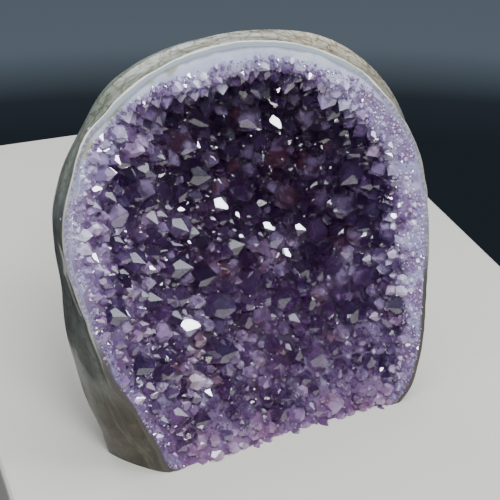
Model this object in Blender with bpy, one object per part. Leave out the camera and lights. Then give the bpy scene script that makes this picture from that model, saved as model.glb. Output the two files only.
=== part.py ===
"""Amethyst geode with a cut base, standing on its own.

Three pieces, from outside to inside: the rock rind that is left of the host rock, the pale quartz lining
that coats the hollow, and the crust of amethyst crystals that grew on the lining.

The shapes are drawn in the face's own axes, in millimetres: u to the right, v up the sawn face and w into
the rock. The face leans back a little from the upright. The result is in metres, +Z up, with the open face
towards -Y and the origin at the centre of the bounding box's base, on the surface that the geode stands on.
"""

import math
import random

import bmesh
import bpy
from mathutils import Matrix, Vector, noise

MM = 0.001
GAP = 0.3

# Driving sizes of the geode, in millimetres
FACE_LEAN = math.radians(5)
BODY_DEPTH = 58.0
HOLLOW_DEPTH = 30.0
RIND_AT_FACE = 1.5
LINING_BEHIND = 4.5
BAND_DEPTH = 2.6
BAND_DEPTH_AT_BASE = 1.0
BASE_CENTRE = (29.05, 29.4)

# How steeply the hollow drops away from its edge at the top, and how much more gently it does at the base
HOLLOW_DROP = 0.75
GENTLER_AT_BASE = 0.5

# The lining's back drops away from the rim faster than the hollow does, by these two powers
LINING_BACK_FLATNESS = 3.2
LINING_BACK_DROP = 0.62

# Centres that the outlines are drawn round: of the face, of the deepest hollow and of the domed back
FACE_CENTRE = Vector((28.0, 52.0))
DEEPEST = Vector((47.0, 65.0))
BACK_CENTRE = Vector((44.0, 49.0))

# Outlines, as (u, v) points from the lower left corner round over the top. What is below v = 0 is sawn off.
FACE_EDGE = [
    (-2.5, 0.5), (-5.5, 9), (-11, 21.5), (-16.5, 32), (-20, 46), (-22.9, 58), (-25, 68), (-25, 78),
    (-22.2, 89), (-17.6, 100), (-9.8, 107.2), (2, 114.3), (18, 117.7), (36, 116.2), (51, 110.6),
    (62, 102.8), (71.2, 92), (78, 79.5), (81.5, 66), (82.3, 50), (81.7, 32), (80.3, 15), (76.5, 3.6),
    (68, -3), (50, -4.5), (25, -5.5), (6, -4.5),
]
GIRTH = [
    (-13.6, 3), (-15.4, 10), (-18.2, 22), (-20.6, 33), (-22.6, 46), (-23.2, 58), (-24.5, 70), (-24, 80),
    (-20, 91), (-14, 100), (-7, 108.8), (4.4, 114.6), (19.1, 117.4), (37.5, 116.8), (53.4, 112.6),
    (65.4, 104.8), (74.8, 94), (80.8, 81), (83.2, 66.5), (83, 50), (81.8, 32), (80, 14), (77, 0), (68, -14),
    (50, -23), (25, -25), (-3, -16),
]
CRYSTAL_EDGE = [
    (4.5, -2), (1, 5.5), (-7.4, 23), (-13.4, 38), (-16.6, 54), (-18.4, 68), (-18.6, 80), (-15.4, 91),
    (-8.4, 102), (3.5, 106.6), (14, 106.6), (26, 108.6), (38, 107.6), (50, 102), (60.5, 92.5), (68.2, 81),
    (72.8, 66), (73.6, 54), (74.4, 36), (74.4, 18), (72, 5), (65, -1), (50, -2), (28, -2.6), (10, -2.2),
]

# Low in the left corner the crystals stand out in front of the face
SWELL = 4.5
SWELL_CENTRE = Vector((14.0, -3.0))
SWELL_WIDTH = 13.0

# How the outlines are stepped into a mesh
AROUND = 48
HOLLOW_STEPS = (0.0, 0.3, 0.53, 0.72, 0.87, 0.96, 1.0)

# The domed back, as how far back of the girth (0 to 1) and how wide against it
BACK_PROFILE = ((0.1, 0.975), (0.27, 0.905), (0.46, 0.81), (0.65, 0.67), (0.82, 0.49), (0.94, 0.27))

# Girth: how far behind the face the body is widest, and the lower left side where it is widest further back
GIRTH_DEPTH = 9.0
LATE_GIRTH = 7.0
LATE_GIRTH_TOWARDS = math.radians(222)

# The natural rock skin of the back: lumps with finer ones on them, which begin behind the polished side
LUMP_HEIGHT = 2.0
LUMP_SIZE = 17.0
LUMPS_GROW_OVER = 16.0
FINER_LUMPS = 2.3
FINER_LUMP_SHARE = 0.5

# Crystals: six-sided points, whose faces slope as those of quartz do, grown together at their feet
CRYSTAL_SEED = 11
CRYSTAL_SPACING = 6.1
CLOSER_AT_EDGE = 0.2
CRYSTALS_FROM = 0.02
CRYSTALS_TO = 0.98
CRYSTALS_BELOW_BASE = 2.0
CRYSTAL_HEIGHT = (5.7, 9.0)
POINT_SLOPE = 1.1
POINT_OFF_CENTRE = 0.3
CRYSTAL_TILT = math.radians(20)
ROOT_DEPTH = 2.3
BED_THICKNESS = 0.8
BED_THINNING = 0.7
BED_BEHIND = 3.0
FRONT_ROOM = 0.5
LEAST_FORWARD = 0.3
MOST_FORWARD = 0.99
CRYSTAL_TRIES = 7000


def clear_scene():
    for obj in list(bpy.data.objects):
        bpy.data.objects.remove(obj)


def new_collection(name):
    group = bpy.data.collections.new(name)
    bpy.context.scene.collection.children.link(group)
    return group


def material(name, colour, roughness, transmission=0.0):
    made = bpy.data.materials.new(name)
    made.use_nodes = True
    shader = made.node_tree.nodes["Principled BSDF"]
    shader.inputs["Base Color"].default_value = (*colour, 1)
    shader.inputs["Roughness"].default_value = roughness
    shader.inputs["Transmission Weight"].default_value = transmission
    return made


INTO_ROCK = Vector((0, math.cos(FACE_LEAN), -math.sin(FACE_LEAN)))


def row_point(uv, w):
    """A point of the face's own axes, in the geode's frame and in metres."""
    u, v = uv
    along = w * math.cos(FACE_LEAN) + v * math.sin(FACE_LEAN)
    height = v * math.cos(FACE_LEAN) - w * math.sin(FACE_LEAN)
    return Vector((u - BASE_CENTRE[0], along - BASE_CENTRE[1], height)) * MM


def reach_round(outline):
    """The distance from the face's centre to a closed outline, as a smooth function of direction.

    Between two outline points it is a cubic whose slope at each point is that of its two neighbours.
    """
    arms = [Vector(point) - FACE_CENTRE for point in outline]
    knots = sorted((math.atan2(arm.y, arm.x), arm.length) for arm in arms)
    turn = 2 * math.pi
    knots = [(a - turn, r) for a, r in knots[-2:]] + knots + [(a + turn, r) for a, r in knots[:2]]

    def slope(i):
        return (knots[i + 1][1] - knots[i - 1][1]) / (knots[i + 1][0] - knots[i - 1][0])

    def reach(angle):
        angle = math.remainder(angle, turn)
        i = next(i for i in range(1, len(knots) - 1) if knots[i + 1][0] >= angle)
        span = knots[i + 1][0] - knots[i][0]
        t = (angle - knots[i][0]) / span
        return (
            (1 + 2 * t) * (1 - t) ** 2 * knots[i][1]
            + t * (1 - t) ** 2 * span * slope(i)
            + t * t * (3 - 2 * t) * knots[i + 1][1]
            + t * t * (t - 1) * span * slope(i + 1)
        )

    return reach


FACE_REACH = reach_round(FACE_EDGE)
GIRTH_REACH = reach_round(GIRTH)
CRYSTAL_REACH = reach_round(CRYSTAL_EDGE)


def direction(angle):
    return Vector((math.cos(angle), math.sin(angle)))


def lining_reach(angle):
    """How far the lining reaches on the face: the rind's rim is outside it."""
    return FACE_REACH(angle) - RIND_AT_FACE


def hollow_uv(angle, part, reach):
    """A point of the hollow seen from the front: part is 0 at its deepest place and 1 at its edge."""
    return FACE_CENTRE.lerp(DEEPEST, 1 - part**2) + direction(angle) * part * reach


def towards_base(angle):
    """0 straight up, 1 straight down."""
    return (1 - math.sin(angle)) / 2


def bowl_depth(angle, part):
    """The depth of the crystals' part of the hollow: part is 0 at its deepest place and 1 at its edge.

    It drops away steeply under the top, and rises gently to the front at the base.
    """
    edge = BAND_DEPTH + (BAND_DEPTH_AT_BASE - BAND_DEPTH) * towards_base(angle) ** 2
    drop = HOLLOW_DROP + GENTLER_AT_BASE * towards_base(angle)
    return edge + (HOLLOW_DEPTH - edge) * (1 - part**2) ** drop


def lumps(uv, w):
    """The natural skin's height: none on the polished side next to the face, full on the back."""
    spot = Vector((uv.x, uv.y, w)) / LUMP_SIZE
    fade = min(max((w - GIRTH_DEPTH) / LUMPS_GROW_OVER, 0), 1)
    return LUMP_HEIGHT * fade * (noise.noise(spot) + FINER_LUMP_SHARE * noise.noise(spot * FINER_LUMPS))


def body_point(angle, share, w, lumpy=True):
    """A point of the rind's outside: share is its size against the girth's outline."""
    centre = FACE_CENTRE.lerp(BACK_CENTRE, 1 - share)
    uv = centre + direction(angle) * share * GIRTH_REACH(angle)
    rise = lumps(uv, w) if lumpy else 0
    return row_point(uv + direction(angle) * rise * share, w + rise * (1 - share))


def girth_depth(angle):
    """How far behind the face the body is widest."""
    late = max(math.cos(angle - LATE_GIRTH_TOWARDS), 0) ** 3
    return GIRTH_DEPTH + LATE_GIRTH * late


def back_ring(back, share):
    """One ring of the domed back, as a function of direction."""

    def point(angle):
        start = girth_depth(angle)
        return body_point(angle, share, start + (BODY_DEPTH - start) * back)

    return point


def deformed_sphere(rings):
    """A sphere whose rings, from the front pole to the back one, are each set to a function of direction."""
    mesh = bmesh.new()
    bmesh.ops.create_uvsphere(mesh, u_segments=AROUND, v_segments=len(rings) - 1, radius=1)
    for vert in mesh.verts:
        step = math.acos(max(-1, min(1, vert.co.z))) / math.pi * (len(rings) - 1)
        vert.co = rings[round(step)](math.atan2(vert.co.y, vert.co.x))
    bmesh.ops.triangulate(mesh, faces=mesh.faces)
    bmesh.ops.recalc_face_normals(mesh, faces=mesh.faces)
    return mesh


def add_object(name, mesh, group, finish=None, helper=False):
    data = bpy.data.meshes.new(name)
    mesh.to_mesh(data)
    mesh.free()
    obj = bpy.data.objects.new(name, data)
    group.objects.link(obj)
    if finish:
        data.materials.append(finish)
    if helper:
        obj.hide_render = True
        obj.display_type = "WIRE"
    return obj


def add_boolean(obj, other, operation, within_itself=False):
    step = obj.modifiers.new(f"{operation.lower()} {other.name}", "BOOLEAN")
    step.object = other
    step.operation = operation
    step.solver = "EXACT"
    step.use_self = within_itself
    return step


def swell(uv):
    """How far the hollow's surface stands forward in the low left corner."""
    return SWELL * math.exp(-(uv - SWELL_CENTRE).length_squared / SWELL_WIDTH**2)


def bowl_ring(part, raised=0.0):
    """A ring of the hollow where the crystals grow, or of a surface raised off it."""

    def point(angle):
        uv = hollow_uv(angle, part, CRYSTAL_REACH(angle) - raised * part**3)
        return row_point(uv, bowl_depth(angle, part) - swell(uv) - raised)

    return point


def rim_ring(behind):
    """The lining's outline, that far behind the face."""
    return lambda angle: row_point(hollow_uv(angle, 1, lining_reach(angle)), behind)


def lining_back_ring(part, outside=0.0):
    """A ring of the lining's back, or of the rind's seat for it, which is that much further out.

    It drops away steeply from the rim, then follows the hollow's open side.
    """
    depth = (HOLLOW_DEPTH + LINING_BEHIND) * (1 - part**LINING_BACK_FLATNESS) ** LINING_BACK_DROP

    def point(angle):
        beyond_crystals = (lining_reach(angle) - CRYSTAL_REACH(angle)) * part**6
        uv = hollow_uv(angle, part, CRYSTAL_REACH(angle) + beyond_crystals + outside)
        return row_point(uv, depth + outside * (part < 1))

    return point


def rind_mesh():
    """The rock that is left outside the lining: seat of the lining, rim, polished side and natural back."""
    seat = [lining_back_ring(part, GAP) for part in HOLLOW_STEPS]
    rim = [
        lambda angle: row_point(FACE_CENTRE + direction(angle) * FACE_REACH(angle), 0),
        lambda angle: body_point(angle, 1, girth_depth(angle), lumpy=False),
    ]
    back = [back_ring(back, share) for back, share in BACK_PROFILE]
    pole = [lambda angle: row_point(BACK_CENTRE, BODY_DEPTH + lumps(BACK_CENTRE, BODY_DEPTH))]
    return deformed_sphere(seat + rim + back + pole)


def lining_mesh():
    """The quartz that coats the hollow: its open side, then its back, which sits in the rind."""
    front = [bowl_ring(part) for part in HOLLOW_STEPS]
    back = [lining_back_ring(part) for part in reversed(HOLLOW_STEPS)]
    return deformed_sphere(front + back)


def bed_mesh():
    """The grown-together feet of the crystals, thinning towards the edge. Its back is trimmed later."""
    front = [bowl_ring(part, BED_THICKNESS * (1 - BED_THINNING * part**4)) for part in HOLLOW_STEPS]
    back = [bowl_ring(part, -BED_BEHIND) for part in reversed(HOLLOW_STEPS)]
    return deformed_sphere(front + back)


def hollow_space_mesh():
    """The open space in front of the lining."""
    in_front = -3 * SWELL
    bowl = [bowl_ring(part, GAP) for part in HOLLOW_STEPS]
    mouth = [rim_ring(in_front), lambda angle: row_point(FACE_CENTRE, in_front)]
    return deformed_sphere(bowl + mouth)


def floor_cutter(group):
    """All that is below the saw cut of the base."""
    mesh = bmesh.new()
    size = 4 * BODY_DEPTH * MM
    bmesh.ops.create_cube(mesh, size=size)
    bmesh.ops.translate(mesh, verts=mesh.verts, vec=(0, 0, -size / 2))
    return add_object("below_base", mesh, group, helper=True)


def bowl_frame(angle, part):
    """Where a crystal stands on the lining, and the way that it grows: square to the lining."""
    outer = next(i for i, step in enumerate(HOLLOW_STEPS) if step >= part)
    step_in, step_out = HOLLOW_STEPS[outer - 1], HOLLOW_STEPS[outer]
    inner_end = bowl_ring(step_in)(angle)
    outer_end = bowl_ring(step_out)(angle)
    here = inner_end.lerp(outer_end, (part - step_in) / (step_out - step_in))
    aside = math.radians(1)
    sideways = bowl_ring(step_out)(angle + aside) - bowl_ring(step_out)(angle - aside)
    return here, (outer_end - inner_end).cross(sideways).normalized()


def tallest(depth, towards_front):
    """The most height at which neither the tip nor the foot of a crystal stands out in front of the face."""
    room = depth + FRONT_ROOM
    forward = max(towards_front, LEAST_FORWARD)
    sideways = math.sqrt(1 - min(towards_front, MOST_FORWARD) ** 2)
    tip_room = ROOT_DEPTH + room / forward
    foot_room = POINT_SLOPE * (room + ROOT_DEPTH * forward) / sideways
    return min(tip_room, foot_room)


def crystal_places(rng):
    """Places on the lining, no two nearer to each other than the spacing."""
    places = []
    for _ in range(CRYSTAL_TRIES):
        angle = rng.uniform(-math.pi, math.pi)
        part = CRYSTALS_FROM + (CRYSTALS_TO - CRYSTALS_FROM) * math.sqrt(rng.random())
        here, grows = bowl_frame(angle, part)
        spacing = CRYSTAL_SPACING * (1 - CLOSER_AT_EDGE * part**6) * MM
        apart = all((here - other).length > spacing for other, _, _ in places)
        if apart and here.z > -CRYSTALS_BELOW_BASE * MM:
            places.append((here, grows, tallest(bowl_depth(angle, part), -grows.dot(INTO_ROCK))))
    return places


def add_crystal(mesh, here, grows, most, rng):
    """One six-sided point, with its root in the bed."""
    height = min(rng.uniform(*CRYSTAL_HEIGHT), most)
    radius = height / POINT_SLOPE
    made = bmesh.ops.create_cone(
        mesh, cap_ends=True, segments=6, radius1=radius, radius2=0, depth=height
    )["verts"]
    tip = max(made, key=lambda vert: vert.co.z)
    off_centre = direction(rng.uniform(-math.pi, math.pi)) * radius * POINT_OFF_CENTRE * rng.random()
    tip.co += Vector((off_centre.x, off_centre.y, 0))
    spin = Matrix.Rotation(rng.uniform(0, 2 * math.pi), 4, "Z")
    tilt = Matrix.Rotation(rng.uniform(0, CRYSTAL_TILT), 4, "X")
    stand_up = grows.to_track_quat("Z", "Y").to_matrix().to_4x4()
    turn = Matrix.Rotation(rng.uniform(0, 2 * math.pi), 4, "Z")
    place = Matrix.Translation(here) @ Matrix.Scale(MM, 4)
    root = Matrix.Translation((0, 0, height / 2 - ROOT_DEPTH))
    bmesh.ops.transform(mesh, matrix=place @ stand_up @ turn @ tilt @ root @ spin, verts=made)


def crystals_mesh():
    rng = random.Random(CRYSTAL_SEED)
    mesh = bmesh.new()
    places = crystal_places(rng)
    for here, grows, most in places:
        add_crystal(mesh, here, grows, most, rng)
    bmesh.ops.recalc_face_normals(mesh, faces=mesh.faces)
    print(f"{len(places)} crystals")
    return mesh


def main():
    clear_scene()
    geode = new_collection("amethyst_geode")
    cutters = new_collection("cutters")
    below = floor_cutter(cutters)

    rock = material("rock", (0.20, 0.215, 0.185), 0.35)
    rind = add_object("rock_rind", rind_mesh(), geode, rock)
    add_boolean(rind, below, "DIFFERENCE")

    quartz = material("pale_quartz", (0.63, 0.60, 0.70), 0.3, transmission=0.15)
    lining = add_object("quartz_lining", lining_mesh(), geode, quartz)
    add_boolean(lining, below, "DIFFERENCE")

    amethyst = material("amethyst", (0.16, 0.08, 0.26), 0.06, transmission=0.6)
    crust = add_object("amethyst_crust", bed_mesh(), geode, amethyst)
    crystals = add_object("crystals", crystals_mesh(), cutters, helper=True)
    space = add_object("hollow_space", hollow_space_mesh(), cutters, helper=True)
    add_boolean(crust, crystals, "UNION", within_itself=True)
    add_boolean(crust, space, "INTERSECT")
    add_boolean(crust, below, "DIFFERENCE")


main()
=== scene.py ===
# %% [markdown]
# # Amethyst geode
#
# A geode is a bubble in old lava that minerals have lined from the outside inwards. This one was sawn open,
# polished round its mouth, and given a flat base so that it stands. Three layers show: the grey-green rock
# rind, a pale quartz lining, and a crust of amethyst crystals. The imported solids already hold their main
# shapes. This lesson makes each layer again at its fine scale, around the same outlines, and gives it its
# finish. It starts by loading the solids, and keeps their box so that the finished piece can be held to it.

# %% Load the solids
import math
import random

import bmesh
import bpy
from mathutils import Matrix, Vector, kdtree, noise


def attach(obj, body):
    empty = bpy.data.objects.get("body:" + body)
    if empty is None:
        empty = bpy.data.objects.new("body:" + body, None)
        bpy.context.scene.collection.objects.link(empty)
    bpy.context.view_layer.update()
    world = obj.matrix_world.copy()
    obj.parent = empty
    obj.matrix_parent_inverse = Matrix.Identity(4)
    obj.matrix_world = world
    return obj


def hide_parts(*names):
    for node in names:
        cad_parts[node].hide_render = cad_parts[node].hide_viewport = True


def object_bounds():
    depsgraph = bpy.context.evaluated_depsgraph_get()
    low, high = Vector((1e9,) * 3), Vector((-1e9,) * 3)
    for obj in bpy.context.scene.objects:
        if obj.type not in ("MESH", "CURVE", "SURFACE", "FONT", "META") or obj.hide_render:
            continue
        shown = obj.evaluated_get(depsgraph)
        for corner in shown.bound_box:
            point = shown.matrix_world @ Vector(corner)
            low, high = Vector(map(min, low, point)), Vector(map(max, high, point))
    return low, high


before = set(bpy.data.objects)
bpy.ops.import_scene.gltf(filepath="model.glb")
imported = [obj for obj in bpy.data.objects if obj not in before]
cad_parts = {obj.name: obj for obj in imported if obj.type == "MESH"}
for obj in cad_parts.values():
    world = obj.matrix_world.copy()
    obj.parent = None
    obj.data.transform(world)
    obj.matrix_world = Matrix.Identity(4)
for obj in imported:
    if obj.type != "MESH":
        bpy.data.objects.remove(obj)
solid_box = [list(corner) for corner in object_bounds()]
print("solids:", sorted(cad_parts), "box", [[round(x, 4) for x in corner] for corner in solid_box])

# %% [markdown]
# ## The geode's own axes
#
# Everything on a geode follows its mouth, so the shapes are drawn in the sawn face's own axes: u to the
# right, v up the face and w into the rock, in millimetres. The face leans back by a few degrees. One
# function turns such a point into the frame's metres, so no other line has to think about the lean.

# %% Face axes
MM = 0.001
FACE_LEAN = math.radians(5)
BASE_CENTRE = (29.05, 29.4)
INTO_ROCK = Vector((0, math.cos(FACE_LEAN), -math.sin(FACE_LEAN)))
TURN = 2 * math.pi


def face_point(uv, w):
    """A point of the face's own axes, in the frame and in metres."""
    along = w * math.cos(FACE_LEAN) + uv[1] * math.sin(FACE_LEAN)
    height = uv[1] * math.cos(FACE_LEAN) - w * math.sin(FACE_LEAN)
    return Vector((uv[0] - BASE_CENTRE[0], along - BASE_CENTRE[1], height)) * MM


def direction(angle):
    return Vector((math.cos(angle), math.sin(angle)))


print("the face's foot is at y =", round(face_point((0, 0), 0).y, 4))

# %% [markdown]
# ## Outlines
#
# Three closed lines give the geode its form: the edge of the face, the girth a little behind it where the
# body is widest, and the line where the crystals begin. Each is a short list of points round a centre. Read
# as the distance from that centre in each direction, with a cubic between the points, a list becomes a
# smooth function that a mesh of any fineness can follow.

# %% Outline functions
FACE_CENTRE = Vector((28.0, 52.0))
DEEPEST = Vector((47.0, 65.0))
BACK_CENTRE = Vector((44.0, 49.0))

FACE_EDGE = [
    (-2.5, 0.5), (-5.5, 9), (-11, 21.5), (-16.5, 32), (-20, 46), (-22.9, 58), (-25, 68), (-25, 78),
    (-22.2, 89), (-17.6, 100), (-9.8, 107.2), (2, 114.3), (18, 117.7), (36, 116.2), (51, 110.6), (62, 102.8),
    (71.2, 92), (78, 79.5), (81.5, 66), (82.3, 50), (81.7, 32), (80.3, 15), (76.5, 3.6), (68, -3), (50, -4.5),
    (25, -5.5), (6, -4.5),
]
GIRTH = [
    (-13.6, 3), (-15.4, 10), (-18.2, 22), (-20.6, 33), (-22.6, 46), (-23.2, 58), (-24.5, 70), (-24, 80),
    (-20, 91), (-14, 100), (-7, 108.8), (4.4, 114.6), (19.1, 117.4), (37.5, 116.8), (53.4, 112.6),
    (65.4, 104.8), (74.8, 94), (80.8, 81), (83.2, 66.5), (83, 50), (81.8, 32), (80, 14), (77, 0), (68, -14),
    (50, -23), (25, -25), (-3, -16),
]
CRYSTAL_EDGE = [
    (4.5, -2), (1, 5.5), (-7.4, 23), (-13.4, 38), (-16.6, 54), (-18.4, 68), (-18.6, 80), (-15.4, 91),
    (-8.4, 102), (3.5, 106.6), (14, 106.6), (26, 108.6), (38, 107.6), (50, 102), (60.5, 92.5), (68.2, 81),
    (72.8, 66), (73.6, 54), (74.4, 36), (74.4, 18), (72, 5), (65, -1), (50, -2), (28, -2.6), (10, -2.2),
]


def reach_round(outline):
    """The distance from the face's centre to a closed outline, as a smooth function of direction."""
    arms = [Vector(point) - FACE_CENTRE for point in outline]
    knots = sorted((math.atan2(arm.y, arm.x), arm.length) for arm in arms)
    knots = [(a - TURN, r) for a, r in knots[-2:]] + knots + [(a + TURN, r) for a, r in knots[:2]]

    def slope(i):
        return (knots[i + 1][1] - knots[i - 1][1]) / (knots[i + 1][0] - knots[i - 1][0])

    def reach(angle):
        angle = math.remainder(angle, TURN)
        i = next(i for i in range(1, len(knots) - 1) if knots[i + 1][0] >= angle)
        span = knots[i + 1][0] - knots[i][0]
        t = (angle - knots[i][0]) / span
        return (
            (1 + 2 * t) * (1 - t) ** 2 * knots[i][1]
            + t * (1 - t) ** 2 * span * slope(i)
            + t * t * (3 - 2 * t) * knots[i + 1][1]
            + t * t * (t - 1) * span * slope(i + 1)
        )

    return reach


face_reach = reach_round(FACE_EDGE)
girth_reach = reach_round(GIRTH)
crystal_reach = reach_round(CRYSTAL_EDGE)
print("the face reaches", round(face_reach(0), 1), "mm right and", round(face_reach(math.pi / 2), 1), "mm up")

# %% [markdown]
# ## A sphere pulled into shape
#
# Rind, lining and crust bed are all closed shells with a front and a back. A UV sphere is such a shell
# already: its rings run from one pole to the other. Each ring is moved to its own curve, given as a
# function of direction, and the poles close by themselves. Compared with lofting open curves, no caps or
# seams are left to mend. The saw cut of the base is then one bisect, filled.

# %% Shell helpers
ON_THE_CUT = 1e-7
SHARP_FROM = math.radians(38)


def pulled_sphere(rings, around):
    """A sphere whose rings, from the front pole to the back one, are each set to a function of direction."""
    last = len(rings) - 1
    shell = bmesh.new()
    bmesh.ops.create_uvsphere(shell, u_segments=around, v_segments=last, radius=1)
    for vert in shell.verts:
        ring = round(math.acos(max(-1, min(1, vert.co.z))) / math.pi * last)
        vert.co = rings[ring](math.atan2(vert.co.y, vert.co.x))
    bmesh.ops.recalc_face_normals(shell, faces=shell.faces)
    return shell


def saw_base(shell):
    """Cut everything below the base away and close the cut flat."""
    geom = shell.verts[:] + shell.edges[:] + shell.faces[:]
    bmesh.ops.bisect_plane(
        shell, geom=geom, dist=ON_THE_CUT, plane_co=(0, 0, 0), plane_no=(0, 0, -1), clear_outer=True
    )
    rim = [edge for edge in shell.edges if edge.is_boundary]
    bmesh.ops.holes_fill(shell, edges=rim, sides=0)
    many_sided = [face for face in shell.faces if len(face.verts) > 4]
    bmesh.ops.triangulate(shell, faces=many_sided)
    bmesh.ops.recalc_face_normals(shell, faces=shell.faces)


def hold_to_solid_box(shell):
    """Keep a finish inside the solids' box, which a smoother curve could pass by a hair."""
    low, high = solid_box
    for vert in shell.verts:
        vert.co = [min(max(value, low[i]), high[i]) for i, value in enumerate(vert.co)]


def object_from(name, shell):
    """Turn a shell into an object of the scene."""
    mesh = bpy.data.meshes.new(name)
    shell.to_mesh(mesh)
    shell.free()
    made = bpy.data.objects.new(name, mesh)
    bpy.context.scene.collection.objects.link(made)
    return made


def finish_piece(shell, node, material, smooth=True):
    """Turn a shell into a piece that rides on the body and stands for its solid."""
    hold_to_solid_box(shell)
    piece = object_from(node + "_finish", shell)
    if smooth:
        piece.data.shade_smooth()
        piece.data.set_sharp_from_angle(angle=SHARP_FROM)
    piece.data.materials.append(material)
    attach(piece, "root")
    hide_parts(node)
    print(piece.name, len(piece.data.polygons), "faces")


# %% [markdown]
# ## Shader maths as plain expressions
#
# A material is easier to read as a formula than as a list of links. This small class holds a socket, and
# its operators add the Math or Mix node that the formula asks for. One method makes any other node from its
# type, its settings and its inputs, and a second class holds what every finish of the geode starts from.

# %% Socket class
def feed(tree, socket, value):
    """Link a formula to a socket, or set the socket to a plain value."""
    if isinstance(value, Wire):
        tree.links.new(value.socket, socket)
    elif isinstance(value, tuple) and len(value) == 3 and socket.type == "RGBA":
        socket.default_value = (*value, 1)
    else:
        socket.default_value = value


class Wire:
    """A shader socket that can be used in a formula."""

    def __init__(self, tree, socket=None):
        self.tree = tree
        self.socket = socket

    def node(self, kind, settings=None, output=0, **inputs):
        """Add a node: its settings first, then its sockets, by name with _ for a space, or by in0, in1."""
        made = self.tree.nodes.new(kind)
        for key, value in (settings or {}).items():
            if key == "stops":
                ramp = made.color_ramp
                while len(ramp.elements) < len(value):
                    ramp.elements.new(0.5)
                for element, (at, colour) in zip(ramp.elements, value):
                    element.position = at
                    element.color = (*colour, 1)
            else:
                setattr(made, key, value)
        for key, value in inputs.items():
            key = int(key[2:]) if key[:2] == "in" and key[2:].isdigit() else key.replace("_", " ")
            feed(self.tree, made.inputs[key], value)
        return Wire(self.tree, made.outputs[output])

    def maths(self, operation, first, second):
        return self.node("ShaderNodeMath", {"operation": operation}, in0=first, in1=second)

    def __add__(self, other):
        return self.maths("ADD", self, other)

    def __radd__(self, other):
        return self.maths("ADD", other, self)

    def __sub__(self, other):
        return self.maths("SUBTRACT", self, other)

    def __rsub__(self, other):
        return self.maths("SUBTRACT", other, self)

    def __mul__(self, other):
        return self.maths("MULTIPLY", self, other)

    def __rmul__(self, other):
        return self.maths("MULTIPLY", other, self)

    def step(self, low, high):
        """0 below low, 1 above high and smooth between them. Low may be the larger one."""
        kind = {"interpolation_type": "SMOOTHSTEP"}
        if low > high:
            return 1 - self.node("ShaderNodeMapRange", kind, Value=self, From_Min=high, From_Max=low)
        return self.node("ShaderNodeMapRange", kind, Value=self, From_Min=low, From_Max=high)

    def mix(self, low, high):
        """Blend two colours by this factor."""
        return self.node("ShaderNodeMix", {"data_type": "RGBA"}, output=2, Factor=self, in6=low, in7=high)

    def ramp(self, *stops):
        return self.node("ShaderNodeValToRGB", {"stops": stops}, Fac=self)

    def tinted(self, colour):
        """This colour times another."""
        multiply = {"data_type": "RGBA", "blend_type": "MULTIPLY"}
        return self.node("ShaderNodeMix", multiply, output=2, Factor=1.0, in6=self, in7=colour)


class Finish:
    """A material under way, with its object coordinates in millimetres."""

    def __init__(self, name):
        self.material = bpy.data.materials.new(name)
        self.material.use_nodes = True
        self.tree = self.material.node_tree
        self.node = Wire(self.tree).node
        metres = self.node("ShaderNodeTexCoord", output="Object")
        self.place = self.node("ShaderNodeVectorMath", {"operation": "SCALE"}, in0=metres, Scale=1 / MM)

    def axis(self, vector, offset=0.0):
        """Distance in millimetres along a direction of the frame."""
        dot = {"operation": "DOT_PRODUCT"}
        return self.node("ShaderNodeVectorMath", dot, output=1, in0=self.place, in1=vector) + offset

    def noise(self, size, detail=3.0, place=None):
        """Cloudy noise from 0 to 1 whose blotches are about that many millimetres across."""
        return self.node("ShaderNodeTexNoise", Vector=place or self.place, Scale=1 / size, Detail=detail)

    def cracks(self, size, place):
        """Distance to the nearest border of a cell pattern, 0 on the border."""
        to_edge = {"feature": "DISTANCE_TO_EDGE"}
        return self.node("ShaderNodeTexVoronoi", to_edge, Vector=place, Scale=1 / size)

    def warped(self, amount, size):
        """The object's coordinates, pushed about by noise so that patterns lose their straight lines."""
        cloud = self.node("ShaderNodeTexNoise", output=1, Vector=self.place, Scale=1 / size, Detail=2.0)
        push = self.node("ShaderNodeVectorMath", {"operation": "SCALE"}, in0=cloud, Scale=amount)
        return self.node("ShaderNodeVectorMath", {"operation": "ADD"}, in0=self.place, in1=push)

    def stretched(self, factors):
        """The object's coordinates with each axis scaled, so that a pattern runs in streaks."""
        return self.node("ShaderNodeVectorMath", {"operation": "MULTIPLY"}, in0=self.place, in1=factors)

    def stored(self, name):
        """A number that is stored on the mesh."""
        return self.node("ShaderNodeAttribute", {"attribute_name": name}, output=2)

    def bump(self, height, strength, depth):
        return self.node("ShaderNodeBump", Height=height, Strength=strength, Distance=depth * MM)

    def set(self, node="Principled BSDF", **inputs):
        """Set inputs of a node that the material started with, each to a value or to a formula."""
        for key, value in inputs.items():
            feed(self.tree, self.tree.nodes[node].inputs[key.replace("_", " ")], value)

    def mix_over(self, factor, **inputs):
        """Add a second shader and mix it over the first one by the factor."""
        first = Wire(self.tree, self.tree.nodes["Principled BSDF"].outputs[0])
        second = self.node("ShaderNodeBsdfPrincipled", **inputs)
        both = self.node("ShaderNodeMixShader", in0=factor, in1=first, in2=second)
        self.set("Material Output", Surface=both)


# %% [markdown]
# ## The hollow
#
# The hollow is deepest up and to the right of the middle, drops away steeply under the top and comes gently
# forward to the base, where the crystals reach the floor. One number runs from its deepest place (0) over
# the line where the crystals begin (1) to the lining's edge on the face (2). The low left corner swells out
# a little in front of the face, as crystals there grew past the saw line.

# %% Hollow surface
HOLLOW_DEPTH = 30.0
RIND_AT_FACE = 1.5
LINING_BEHIND = 4.5
BAND_DEPTH = 2.6
BAND_DEPTH_AT_BASE = 1.0
BAND_ROUNDING = 1.3
WALL_AT_TOP = 0.75
WALL_AT_BASE = 1.25
SWELL = 2.0
SWELL_CENTRE = Vector((14.0, -3.0))
SWELL_WIDTH = 13.0
BESIDE = 0.015


def lining_reach(angle):
    return face_reach(angle) - RIND_AT_FACE


def towards_base(angle):
    """0 straight up, 1 straight down."""
    return (1 - math.sin(angle)) / 2


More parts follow.
